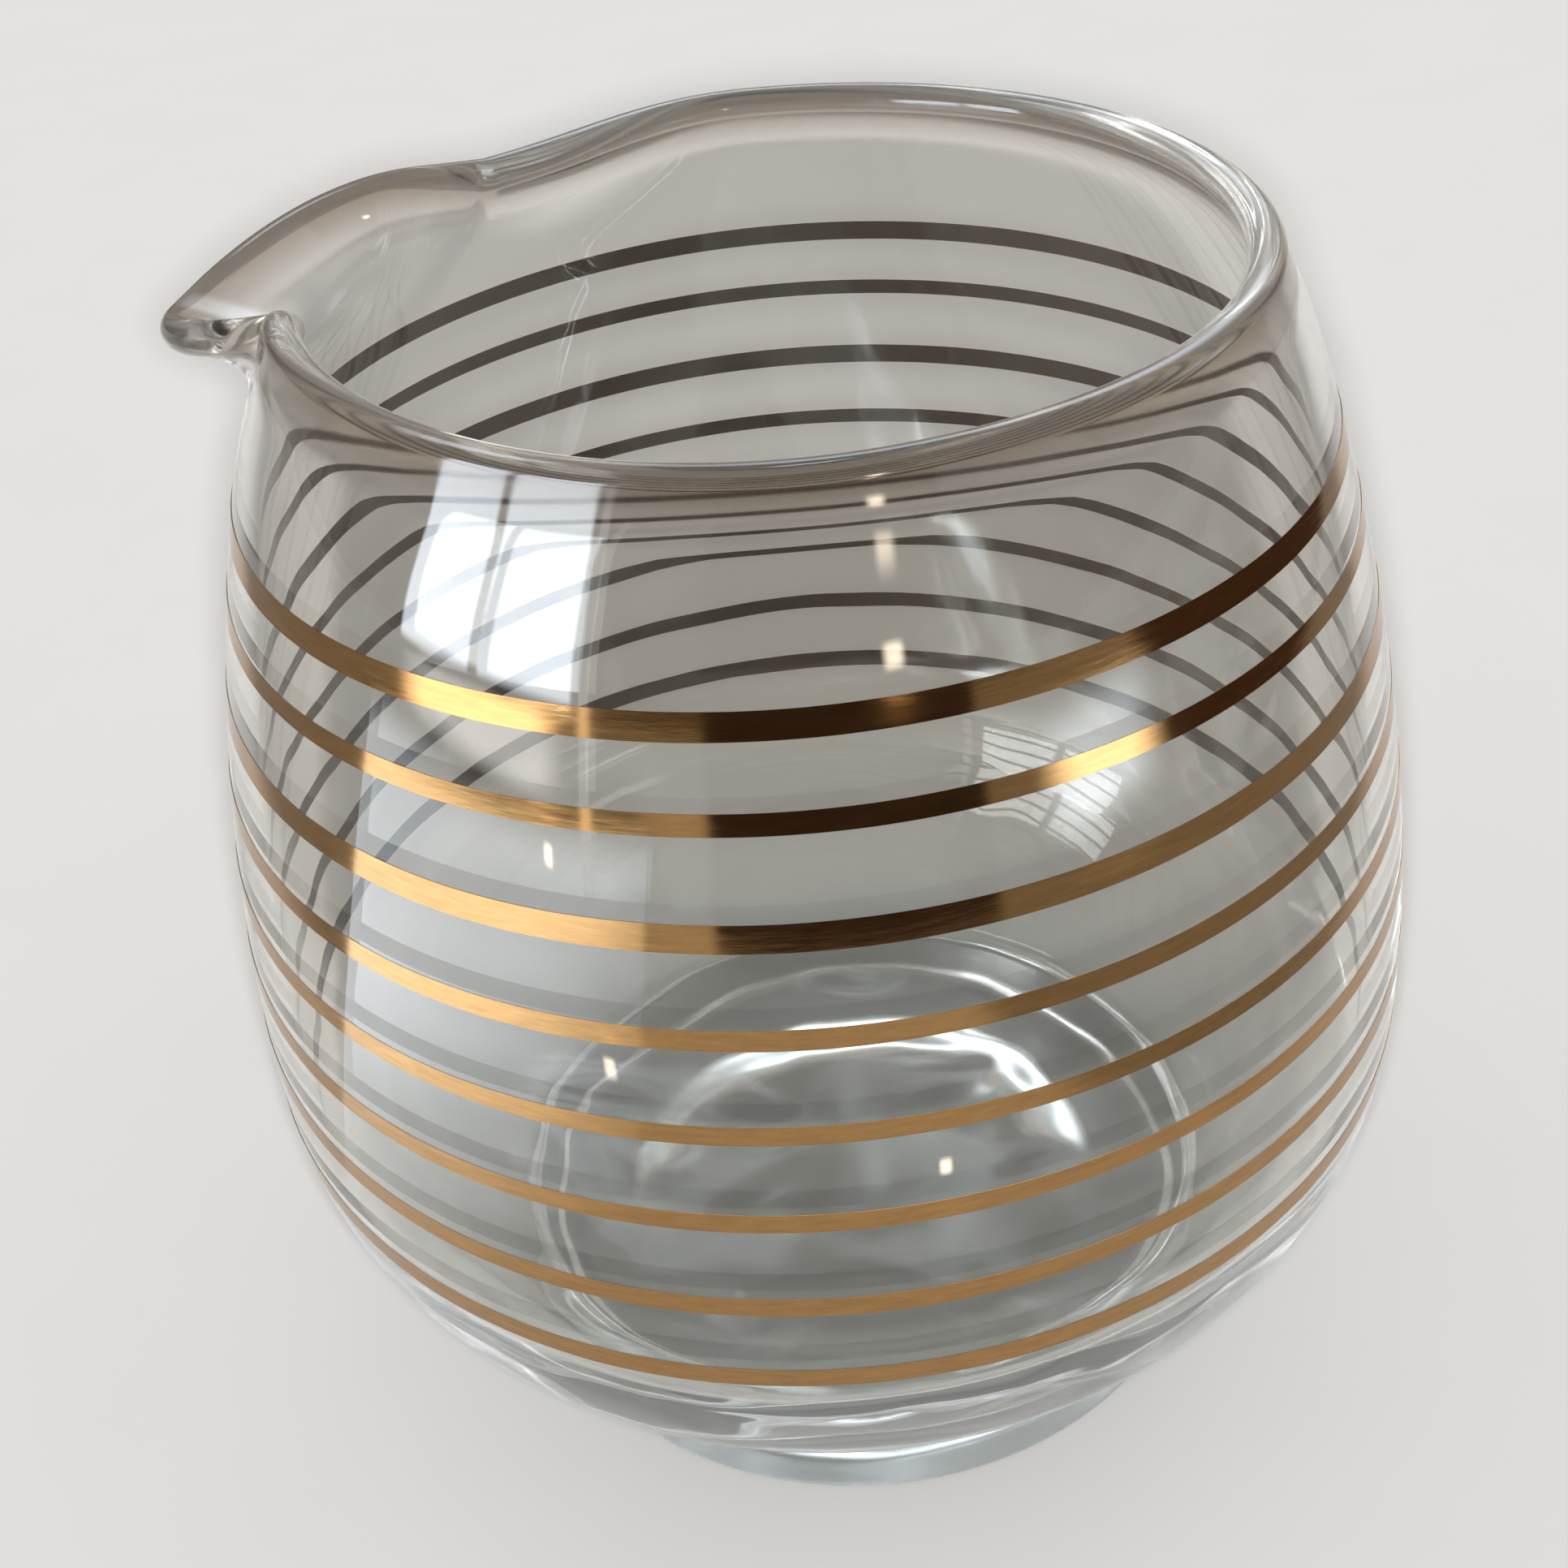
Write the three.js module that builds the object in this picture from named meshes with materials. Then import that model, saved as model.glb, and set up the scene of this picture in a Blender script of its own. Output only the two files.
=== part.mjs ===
// A small blown glass pouring jug without a handle, with eight fired-on gold bands.
// Millimetres, +Z up. The origin is on the axis of the body, on the flat underside of the foot.
// The spout points along -X.
import * as THREE from "three";

// Glass body
const BODY_RADIUS = 45; // outside, at the widest place
const WIDEST_HEIGHT = 36.5; // height of that place
const UPPER_FULLNESS = 1.86; // how late the wall above it leans in
const LOWER_FULLNESS = 2.6; // how late the wall below it turns in
const WALL = 2; // thickness of the blown wall

// Rim, fire-polished to a thicker rounded lip
const RIM_INSET = 11.75; // from the widest place in to the middle of the wall at the lip
const RIM_RADIUS = BODY_RADIUS - RIM_INSET;
const RIM_HEIGHT = 91.8; // where the rounding of the lip starts
const LIP = 2.65; // thickness of the lip
const LIP_DEPTH = 3.4; // height over which the wall swells to the lip
const BACK_DRAW = 0.9; // the rim is drawn in a little on the side away from the spout
const BACK_ANGLE = 2.5; // from the middle of the spout round to there, toward +Y
const BACK_WIDTH = 1.4;

// Thick base and foot
const FOOT_INSET = 15.5; // from the widest place in to the side of the foot
const FOOT_RADIUS = BODY_RADIUS - FOOT_INSET;
const FOOT_HEIGHT = 9; // up to the crease under the body
const FOOT_EDGE = 0.9; // rounding of the foot's lower edge
const FOOT_ASIDE = 0.9; // the blown foot sits a little off the axis of the body
const FOOT_ASIDE_ANGLE = 0.46; // direction of that, round the axis
const CREASE = 1.6; // hollow rounding where body and foot melt together
const FLOOR_HEIGHT = 9.5; // inside floor above the table
const FLOOR_FLAT = 12; // radius of the level middle of the floor
const BOWL_HEIGHT = 31; // where the inside leaves the even wall
const BOWL_CORNER = 30; // how far out the floor runs before it turns up

// Spout, pulled out of the hot rim with a tight fold on one side only
const SPOUT_ANGLE = Math.PI; // direction of the spout round the axis
const SPOUT_REACH = 10.8; // outward pull at the lip
const SPOUT_ROUNDNESS = 0.65; // below 1 the spout is round from above, at 1 it is pointed
const SPOUT_DROOP = 7.2; // how far the tip hangs down
const SPOUT_DEPTH = 13; // height of the wall that the pull takes along
const SPOUT_FOLD_SIDE = 0.265; // half width toward -Y, in radians
const SPOUT_OPEN_SIDE = 0.58; // half width toward +Y
const DROOP_WIDTH = 0.46;
const EAR_RISE = 2.5; // the rim lifts a little on both sides of the spout
const EAR_WIDTH = 0.47;

// Shoulders, pressed in beside the spout
const OPEN_SHOULDER = 3.6; // depth of the shoulder toward +Y
const OPEN_SHOULDER_ANGLE = 0.7; // from the middle of the spout
const OPEN_SHOULDER_WIDTH = 0.6;
const FOLD_SHOULDER = 1.5; // depth of the one toward -Y
const FOLD_SHOULDER_ANGLE = 0.86;
const FOLD_SHOULDER_WIDTH = 1.14;

// Gold bands, numbered from the top: width along the wall, and drop from the band above,
// middle to middle
const BAND_1_HEIGHT = 79.4;
const BAND_1_WIDTH = 1.75;
const BAND_2_DROP = 5.6;
const BAND_2_WIDTH = 1.4;
const BAND_3_DROP = 6.9;
const BAND_3_WIDTH = 1.85;
const BAND_4_DROP = 6.6;
const BAND_4_WIDTH = 1.45;
const BAND_5_DROP = 6.7;
const BAND_5_WIDTH = 1.4;
const BAND_6_DROP = 6.7;
const BAND_6_WIDTH = 1.45;
const BAND_7_DROP = 7.1;
const BAND_7_WIDTH = 1.6;
const BAND_8_DROP = 6.7;
const BAND_8_WIDTH = 1.85;
const BANDS = [
  { drop: 0, width: BAND_1_WIDTH },
  { drop: BAND_2_DROP, width: BAND_2_WIDTH },
  { drop: BAND_3_DROP, width: BAND_3_WIDTH },
  { drop: BAND_4_DROP, width: BAND_4_WIDTH },
  { drop: BAND_5_DROP, width: BAND_5_WIDTH },
  { drop: BAND_6_DROP, width: BAND_6_WIDTH },
  { drop: BAND_7_DROP, width: BAND_7_WIDTH },
  { drop: BAND_8_DROP, width: BAND_8_WIDTH },
];
let bandHeight = BAND_1_HEIGHT;
for (const band of BANDS) {
  bandHeight -= band.drop;
  band.height = bandHeight;
}
const BAND_THICKNESS = 0.15;
const BAND_GAP = 0.05; // clearance between the fired gold and the glass

// Facets
const STEPS = 76; // round the axis
const FINER_AT_SPOUT = 0.5; // 0 spaces the steps evenly

const clamp = (x) => Math.min(1, Math.max(0, x));

// A smooth hill of height 1, zero beyond its half width.
function hill(x, halfWidth) {
  if (Math.abs(x) >= halfWidth) return 0;
  return Math.cos((Math.PI * x) / (2 * halfWidth)) ** 2;
}

// The same angle between -PI and PI.
const wrap = (turn) => Math.atan2(Math.sin(turn), Math.cos(turn));

// Outward and upward shift of the lip at an angle from the spout, positive toward -Y.
function lipShift(a) {
  const pull = hill(a, a > 0 ? SPOUT_FOLD_SIDE : SPOUT_OPEN_SIDE) ** SPOUT_ROUNDNESS;
  const back = hill(wrap(a + BACK_ANGLE), BACK_WIDTH);
  const open = hill(a + OPEN_SHOULDER_ANGLE, OPEN_SHOULDER_WIDTH);
  const fold = hill(a - FOLD_SHOULDER_ANGLE, FOLD_SHOULDER_WIDTH);
  return {
    pull: SPOUT_REACH * pull - BACK_DRAW * back,
    pinch: OPEN_SHOULDER * open + FOLD_SHOULDER * fold,
    rise: EAR_RISE * hill(a, EAR_WIDTH) - SPOUT_DROOP * hill(a, DROOP_WIDTH),
  };
}

// Radius of the middle of the wall at a height, before the spout is pulled.
function wallRadius(height) {
  const widest = BODY_RADIUS - WALL / 2;
  if (height >= WIDEST_HEIGHT) {
    const up = (height - WIDEST_HEIGHT) / (RIM_HEIGHT - WIDEST_HEIGHT);
    return widest - (widest - RIM_RADIUS) * up ** UPPER_FULLNESS;
  }
  const down = (WIDEST_HEIGHT - height) / (WIDEST_HEIGHT - FOOT_HEIGHT);
  return widest - (widest - FOOT_RADIUS + WALL / 2) * down ** LOWER_FULLNESS;
}

// A point of the middle surface of the wall, with the spout and shoulders in it.
function middle(angle, height) {
  const lip = lipShift(wrap(angle - SPOUT_ANGLE));
  const up = clamp(1 - (RIM_HEIGHT - height) / SPOUT_DEPTH);
  const radius = wallRadius(height) + lip.pull * up ** 3 - lip.pinch * up ** 2;
  const z = height + lip.rise * up ** 2;
  return new THREE.Vector3(radius * Math.cos(angle), radius * Math.sin(angle), z);
}

// A point near the wall: outward across it and beyond the height along it.
function nearWall(angle, height, outward, beyond = 0) {
  const d = 1e-3;
  const low = Math.min(height, RIM_HEIGHT - d);
  const here = middle(angle, height);
  const round = middle(angle + d, height).sub(middle(angle - d, height));
  const rise = middle(angle, low + d).sub(middle(angle, low));
  const across = round.clone().cross(rise).normalize();
  const along = across.clone().cross(round).normalize();
  return here.addScaledVector(across, outward).addScaledVector(along, beyond);
}

// Half the thickness of the wall, which swells to the lip.
function halfWall(height) {
  const up = clamp(1 - (RIM_HEIGHT - height) / LIP_DEPTH);
  return (WALL + (LIP - WALL) * up * up) / 2;
}

// Angle of a step round the axis, closer together at the spout.
function stepAngle(step) {
  const even = (2 * Math.PI * step) / STEPS;
  return SPOUT_ANGLE + even - FINER_AT_SPOUT * Math.sin(even);
}

// How far the section is set aside at a height: not at the widest place, fully at the foot.
function footAside(height) {
  const down = clamp((WIDEST_HEIGHT - height) / (WIDEST_HEIGHT - FOOT_HEIGHT));
  const shift = FOOT_ASIDE * down ** 2;
  return { x: shift * Math.cos(FOOT_ASIDE_ANGLE), y: shift * Math.sin(FOOT_ASIDE_ANGLE) };
}

// A point of the plain turned part.
function turnedPoint(angle, r, z) {
  const aside = footAside(z);
  return new THREE.Vector3(r * Math.cos(angle) + aside.x, r * Math.sin(angle) + aside.y, z);
}

// A lathe-turned section whose rings are then carried along by the spout.
// A section point is { r, z } or { height, outward, beyond } along the wall.
function turned(section, closed) {
  const flat = section.map((p) => {
    if (p.r !== undefined) return new THREE.Vector2(p.r, p.z);
    const q = nearWall(SPOUT_ANGLE + Math.PI, p.height, p.outward, p.beyond);
    return new THREE.Vector2(Math.hypot(q.x, q.y), q.z);
  });
  if (closed) flat.push(flat[0].clone());
  const geometry = new THREE.LatheGeometry(flat, STEPS);
  geometry.rotateX(Math.PI / 2);
  const position = geometry.getAttribute("position");
  for (let step = 0; step <= STEPS; step += 1) {
    const angle = stepAngle(step % STEPS);
    flat.forEach((point, i) => {
      const p = section[i % section.length];
      const q =
        p.r === undefined
          ? nearWall(angle, p.height, p.outward, p.beyond)
          : turnedPoint(angle, p.r, p.z);
      position.setXYZ(step * flat.length + i, q.x, q.y, q.z);
    });
  }
  geometry.computeVertexNormals();
  return geometry;
}

// Heights of the lower and upper edge of each band, bottom to top.
function bandEdges() {
  return BANDS.flatMap((b) => [b.height - b.width / 2, b.height + b.width / 2]).sort(
    (a, b) => a - b,
  );
}

// Height where the body starts above the crease.
const bodyStart = () => FOOT_HEIGHT + CREASE * 0.6;

// Hollow rounding of the crease, from the side of the foot to where the body starts.
function crease() {
  const start = bodyStart();
  const curve = new THREE.QuadraticBezierCurve(
    new THREE.Vector2(FOOT_RADIUS, FOOT_HEIGHT - CREASE),
    new THREE.Vector2(FOOT_RADIUS, FOOT_HEIGHT),
    new THREE.Vector2(wallRadius(start) + WALL / 2, start),
  );
  return curve.getPoints(4).slice(0, -1).map((p) => ({ r: p.x, z: p.y }));
}

// Outer side of the body from the crease up to the lip.
function outerWall() {
  const below = [0, 0.16, 0.34, 0.54, 0.76].map(
    (t) => bodyStart() + t * (bandEdges()[0] - bodyStart()),
  );
  const top = bandEdges().at(-1);
  const above = [0.2, 0.4, 0.58, 0.74, 0.88, 1].map((t) => top + t * (RIM_HEIGHT - top));
  return [...below, ...bandEdges(), ...above].map((height) => {
    if (height >= WIDEST_HEIGHT) return { height, outward: halfWall(height), beyond: 0 };
    return { r: wallRadius(height) + WALL / 2, z: height };
  });
}

// Half round lip, from the outside over the top to the inside.
function lipRound() {
  return [36, 72, 108, 144].map((degrees) => {
    const a = THREE.MathUtils.degToRad(degrees);
    return {
      height: RIM_HEIGHT,
      outward: (LIP / 2) * Math.cos(a),
      beyond: (LIP / 2) * Math.sin(a),
    };
  });
}

// Inside of the wall from the lip down to where the bowl rounds in.
function innerWall() {
  const levels = [0, 0.04, 0.09, 0.15, 0.22, 0.36, 0.52, 0.68, 0.84, 1];
  return levels.map((t) => {
    const height = RIM_HEIGHT - t * (RIM_HEIGHT - BOWL_HEIGHT);
    return { height, outward: -halfWall(height), beyond: 0 };
  });
}

// Rounded bottom of the inside, down to the level middle of the floor.
function bowl() {
  const start = nearWall(SPOUT_ANGLE + Math.PI, BOWL_HEIGHT, -WALL / 2);
  const under = nearWall(SPOUT_ANGLE + Math.PI, BOWL_HEIGHT - 1, -WALL / 2);
  const from = new THREE.Vector2(Math.hypot(start.x, start.y), start.z);
  const slope = new THREE.Vector2(Math.hypot(under.x, under.y), under.z).sub(from);
  const drop = (BOWL_HEIGHT - FLOOR_HEIGHT) / 2.4;
  const curve = new THREE.CubicBezierCurve(
    from,
    from.clone().addScaledVector(slope, drop),
    new THREE.Vector2(BOWL_CORNER, FLOOR_HEIGHT),
    new THREE.Vector2(FLOOR_FLAT, FLOOR_HEIGHT),
  );
  return curve.getPoints(7).slice(1).map((p) => ({ r: p.x, z: p.y }));
}

// Flat underside, rounded edge and straight side of the foot.
function foot() {
  return [
    { r: 0, z: 0 },
    { r: FOOT_RADIUS - FOOT_EDGE, z: 0 },
    { r: FOOT_RADIUS - FOOT_EDGE * 0.3, z: FOOT_EDGE * 0.3 },
    { r: FOOT_RADIUS, z: FOOT_EDGE },
  ];
}

function glassBody() {
  const section = [
    ...foot(),
    ...crease(),
    ...outerWall(),
    ...lipRound(),
    ...innerWall(),
    ...bowl(),
    { r: 0, z: FLOOR_HEIGHT },
  ];
  const clearGlass = new THREE.MeshStandardMaterial({
    name: "clear_glass",
    color: 0xdfe6e6,
    roughness: 0.03,
    metalness: 0,
    transparent: true,
    opacity: 0.35,
  });
  const mesh = new THREE.Mesh(turned(section, false), clearGlass);
  mesh.name = "glass_body";
  return mesh;
}

// Outer surface of the glass at a height, moved out by a distance.
function outside(height, lift) {
  if (height >= WIDEST_HEIGHT) return { height, outward: halfWall(height) + lift, beyond: 0 };
  return { r: wallRadius(height) + WALL / 2 + lift, z: height };
}

function goldBand(band, index) {
  const low = band.height - band.width / 2;
  const high = band.height + band.width / 2;
  const section = [
    outside(low, BAND_GAP),
    outside(low, BAND_GAP + BAND_THICKNESS),
    outside(high, BAND_GAP + BAND_THICKNESS),
    outside(high, BAND_GAP),
  ];
  const gold = new THREE.MeshStandardMaterial({
    name: "bright_gold",
    color: 0xb8863e,
    roughness: 0.25,
    metalness: 1,
  });
  const mesh = new THREE.Mesh(turned(section, true), gold);
  mesh.name = `gold_band_${index + 1}`;
  return mesh;
}

const jug = new THREE.Group();
jug.name = "pouring_jug";
jug.add(glassBody());
BANDS.forEach((band, index) => jug.add(goldBand(band, index)));

export default jug;
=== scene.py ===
import math
import bpy
from mathutils import Matrix, Vector


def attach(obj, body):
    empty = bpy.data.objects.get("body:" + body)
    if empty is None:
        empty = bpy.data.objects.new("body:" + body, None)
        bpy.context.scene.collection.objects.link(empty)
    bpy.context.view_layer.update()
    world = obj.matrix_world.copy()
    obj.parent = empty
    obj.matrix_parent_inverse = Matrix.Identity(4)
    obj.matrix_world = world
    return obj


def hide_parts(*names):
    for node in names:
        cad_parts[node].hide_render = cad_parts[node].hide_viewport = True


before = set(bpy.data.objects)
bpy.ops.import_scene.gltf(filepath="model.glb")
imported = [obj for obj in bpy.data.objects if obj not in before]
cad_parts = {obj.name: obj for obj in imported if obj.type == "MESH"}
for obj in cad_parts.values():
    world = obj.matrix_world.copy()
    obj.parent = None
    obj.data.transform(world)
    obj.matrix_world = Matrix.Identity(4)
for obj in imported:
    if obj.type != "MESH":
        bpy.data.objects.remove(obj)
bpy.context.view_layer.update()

# A small blown glass pouring jug with eight fired-on gold lines.
# Sizes below are millimetres and angles radians, as in the solid model, unless a line says
# otherwise. Blender works in metres.
MM = 0.001

# Glass body
BODY_RADIUS = 45  # outside, at the widest place
WIDEST_HEIGHT = 36.5
UPPER_FULLNESS = 1.86  # how late the wall above the widest place leans in
LOWER_FULLNESS = 2.6  # how late the wall below it turns in
WALL = 2
RIM_RADIUS = 33.25  # middle of the wall at the lip
RIM_HEIGHT = 91.8  # where the rounding of the lip starts
LIP = 2.6  # thickness of the lip, a hair less than in the solid, to stay inside it
LIP_DEPTH = 3.4  # height over which the wall swells to the lip
BACK_DRAW = 0.9  # the rim is drawn in a little on the side away from the spout
BACK_ANGLE = 2.5  # from the middle of the spout round to there, toward +Y
BACK_WIDTH = 1.4
FOOT_RADIUS = 29.5
FOOT_HEIGHT = 9
FOOT_EDGE = 0.9
FOOT_ASIDE = 0.9  # the blown foot sits a little off the axis of the body
FOOT_ASIDE_ANGLE = 0.46
CREASE = 1.6  # size of the hollow where body and foot melt together
FLOOR_HEIGHT = 9.5  # inside floor above the table
FLOOR_FLAT = 12
BOWL_HEIGHT = 31
BOWL_CORNER = 30
HOLLOW = 2.8  # how high the underside is pushed in
HOLLOW_RADIUS = 24
HOLLOW_SIDE = 5.0  # how steep the side of the hollow is
UNEVEN = 2.5  # waves left in the thick base by the blowing, at the most
UNEVEN_WIDTH = 17
UNEVEN_SEED = 4.0

# Spout, pulled out of the hot rim with a tight fold on one side
SPOUT_ANGLE = math.pi
SPOUT_REACH = 10.8
SPOUT_ROUNDNESS = 0.65  # below 1 the spout is round from above, at 1 it is pointed
SPOUT_DROOP = 7.2
SPOUT_DEPTH = 13
SPOUT_FOLD_SIDE = 0.265
SPOUT_OPEN_SIDE = 0.58
DROOP_WIDTH = 0.46
EAR_RISE = 2.5
EAR_WIDTH = 0.47
OPEN_SHOULDER = 3.6
OPEN_SHOULDER_ANGLE = 0.7
OPEN_SHOULDER_WIDTH = 0.6
FOLD_SHOULDER = 1.5
FOLD_SHOULDER_ANGLE = 0.86
FOLD_SHOULDER_WIDTH = 1.14

# Gold lines, top to bottom: middle height, width along the wall, and wear of the edges
GOLD_LINES = [
    (79.4, 1.75, 0.05),
    (73.8, 1.4, 0.05),
    (66.9, 1.85, 0.05),
    (60.3, 1.45, 0.06),
    (53.6, 1.4, 0.06),
    (46.9, 1.45, 0.08),
    (39.8, 1.6, 0.10),
    (33.1, 1.85, 0.22),
]
GOLD_FILM = 0.03  # the fired film, drawn thicker than it is
GOLD_LIFT = 0.02  # gap between glass and film, so that the two faces don't coincide
WAVER_WIDTH = 5  # length of a waver in the edge of a line
LINE_SEED = 3.7
SHARP_FOLD = 0.6  # edges of the film that fold more than this stay crisp

# Glass: colours, and how dull each part is
THICK_GLASS = "#E2E8E7"
THIN_GLASS = "#F1EFEA"
# painted shade at the lip: grey brown standing in for the dim surroundings that the lip shows
LIP_PAINTED_SHADE = "#AFA395"
TINTED_HEIGHT = 26  # up to here the thick base tints the glass
WAVE_WIDTH = 16
WAVE_DEPTH = 0.25
SMEAR_WIDTH = 7
SMEAR_ROUGHNESS = 0.035
UNDERSIDE_ROUGHNESS = 0.18
UNDERSIDE_FADE = 4  # height over which that ends
LIP_ROUGHNESS = 0.09
INSIDE_FLOOR_ROUGHNESS = 0.14

# Share of light that each surface lets through where the glass only dims it, linear
FOOT_LETS_THROUGH = (0.55, 0.55, 0.54, 1.0)
BASE_LETS_THROUGH = (0.85, 0.87, 0.89, 1.0)
WALL_LETS_THROUGH = (0.62, 0.61, 0.595, 1.0)
FOOT_TO_BASE = (4, 9)  # heights between which one turns into the next
BASE_TO_WALL = (24, 36)

# Gold: the brush streaks, and the side toward the glass
GOLD_DARK = "#90704A"
GOLD_PALE = "#BC915E"
GOLD_BEHIND = "#75695F"
STREAK_WIDTH = 2.5
STREAK_DEPTH = 0.02
GOLD_ROUGHNESS = (0.05, 0.14)
GOLD_BEHIND_ROUGHNESS = 0.4

# Steps of the turned surfaces
STEPS_ROUND = 300
FINER_AT_SPOUT = 0.5

# Camera, at the angle and distance of the picture, with its place in metres
CAMERA_PLACE = (0.0340, -0.13148, 0.14364)
CAMERA_FORWARD = (-0.21919, 0.79083, -0.57144)
CAMERA_RIGHT = (0.97421, 0.20952, -0.08373)
LENS = 48.56
SENSOR = 36

# Lamp at the lens
FRONT_LAMP = 22.5  # watts
FRONT_LAMP_SIZE = 4  # radius
LAMP_DOORS = (0.48, 0.58)  # sines of the side angles between which the lamp's doors shade it
LAMP_TOP_DOOR = (0.11, 0.19)  # the same for the angle below the horizon
LAMP_EVEN_FROM = 0.12  # sine of the angle below which the lamp gets no brighter

# Surroundings
HORIZON_COLOUR = "#6E6962"
SKY_COLOUR = "#D6D8DA"
SKY_FROM = 0.9  # sine of the height at which the sky has its full colour
STUDIO_FLOOR_COLOURS = ("#D9D7D4", "#DDDBD8")
STUDIO_FLOOR_GRAIN = 25
STUDIO_FLOOR_REACH = 3000
STUDIO_FLOOR_LEVEL = -0.05

# Cards that the glass and the gold mirror: name, azimuths from and to in degrees, heights from
# and to, distance, colour, strength, softness of the edges, and whether they show through glass
CARDS = [
    ("window_left", (-153, -137), (70, 235), 400, "#EAF4FF", 12, 0.06, True),
    ("window_right", (-136, -116.5), (70, 235), 400, "#EAF4FF", 12, 0.06, True),
    ("window_edge", (-114.5, -112.5), (5, 250), 260, "#F4F6FA", 2.5, 0.12, True),
    ("low_panel", (-40, -13), (14, 60), 260, "#E4EEF6", 5.2, 0.35, True),
    ("low_window", (-153, -118), (20, 70), 400, "#F4F2F0", 5, 0.2, True),
    ("back_sky", (56, 124), (230, 600), 520, "#DCE8F4", 5, 0.4, True),
    ("high_window", (138, 172), (350, 700), 350, "#E6F0FA", 6, 0.3, False),
    ("side_sky", (6, 32), (85, 260), 400, "#E6F0FA", 2.2, 0.35, False),
    ("dark_flag", (-94, -47), (0, 420), 230, "#443C3A", 1, 0.05, False),
    ("right_flag", (-20, 45), (0, 75), 300, "#54443C", 1, 0.1, False),
]

# Bright sill under the window: azimuth in degrees, distance and height of each corner
SILL = [(-160, 52, 1), (-108, 52, 1), (-104, 395, 25), (-158, 395, 25)]
SILL_COLOUR = "#E6F0FA"
SILL_STRENGTH = 3.6
SILL_SOFT = 0.3

# Small lamps: middle, width and height
SMALL_LAMPS = [
    ((102, -176, 124), 18, 40),
    ((101, -180, 89), 18, 9),
    ((-117, -203, 31), 9, 9),
    ((-50, -139, 7), 7, 7),
    ((53, -100, 5), 5, 5),
]
SMALL_LAMP_COLOUR = "#FFEBD0"
SMALL_LAMP_STRENGTH = 26
SMALL_LAMP_SOFT = 0.4


def linear(hex_colour):
    """Linear colour of an sRGB hex value."""
    parts = [int(hex_colour[i : i + 2], 16) / 255 for i in (1, 3, 5)]
    return [c / 12.92 if c <= 0.04045 else ((c + 0.055) / 1.055) ** 2.4 for c in parts] + [1.0]


def add(tree, kind, links=None, **settings):
    """Adds a node, sets its properties, and gives its sockets values or links."""
    node = tree.nodes.new(kind)
    for name, value in settings.items():
        setattr(node, name, value)
    for socket, value in (links or {}).items():
        if isinstance(value, bpy.types.Node):
            value = next(out for out in value.outputs if out.enabled)
        if isinstance(value, bpy.types.NodeSocket):
            tree.links.new(value, node.inputs[socket])
        else:
            node.inputs[socket].default_value = value
    return node


def new_tree(name, inputs, outputs):
    """A geometry node tree with named sockets, and its two end nodes."""
    tree = bpy.data.node_groups.new(name, "GeometryNodeTree")
    for direction, sockets in (("INPUT", inputs), ("OUTPUT", outputs)):
        for label, kind in sockets.items():
            tree.interface.new_socket(name=label, in_out=direction, socket_type=kind)
    return tree, add(tree, "NodeGroupInput"), add(tree, "NodeGroupOutput")


FLOAT = "NodeSocketFloat"
VECTOR = "NodeSocketVector"
GEOMETRY = "NodeSocketGeometry"

# Sizes of the wall that every tree takes, in metres and radians
WALL_SIZES = {
    "Widest radius": (BODY_RADIUS - WALL / 2) * MM,
    "Widest height": WIDEST_HEIGHT * MM,
    "Upper fullness": UPPER_FULLNESS,
    "Lower fullness": LOWER_FULLNESS,
    "Rim radius": RIM_RADIUS * MM,
    "Rim height": RIM_HEIGHT * MM,
    "Foot radius": (FOOT_RADIUS - WALL / 2) * MM,
    "Foot height": FOOT_HEIGHT * MM,
    "Spout angle": SPOUT_ANGLE,
    "Spout reach": SPOUT_REACH * MM,
    "Spout roundness": SPOUT_ROUNDNESS,
    "Spout droop": SPOUT_DROOP * MM,
    "Spout depth": SPOUT_DEPTH * MM,
    "Fold side": SPOUT_FOLD_SIDE,
    "Open side": SPOUT_OPEN_SIDE,
    "Droop width": DROOP_WIDTH,
    "Ear rise": EAR_RISE * MM,
    "Ear width": EAR_WIDTH,
    "Open shoulder": OPEN_SHOULDER * MM,
    "Open shoulder angle": OPEN_SHOULDER_ANGLE,
    "Open shoulder width": OPEN_SHOULDER_WIDTH,
    "Fold shoulder": FOLD_SHOULDER * MM,
    "Fold shoulder angle": FOLD_SHOULDER_ANGLE,
    "Fold shoulder width": FOLD_SHOULDER_WIDTH,
    "Back draw": BACK_DRAW * MM,
    "Back angle": BACK_ANGLE,
    "Back width": BACK_WIDTH,
}


def hill_tree():
    """A smooth hill of height 1 at zero, level beyond its half width."""
    tree, given, result = new_tree("Hill", {"Angle": FLOAT, "Half width": FLOAT}, {"Hill": FLOAT})
    size = add(tree, "ShaderNodeMath", {0: given.outputs["Angle"]}, operation="ABSOLUTE")
    turn = add(tree, "ShaderNodeMapRange", {0: size, 2: given.outputs["Half width"], 4: math.pi / 2})
    cosine = add(tree, "ShaderNodeMath", {0: turn}, operation="COSINE")
    square = add(tree, "ShaderNodeMath", {0: cosine, 1: cosine}, operation="MULTIPLY")
    tree.links.new(square.outputs[0], result.inputs["Hill"])
    return tree


def wall_sizes(given):
    """The sizes of the wall, handed on from a tree's input to a group in it."""
    return {label: given.outputs[label] for label in WALL_SIZES}


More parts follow.
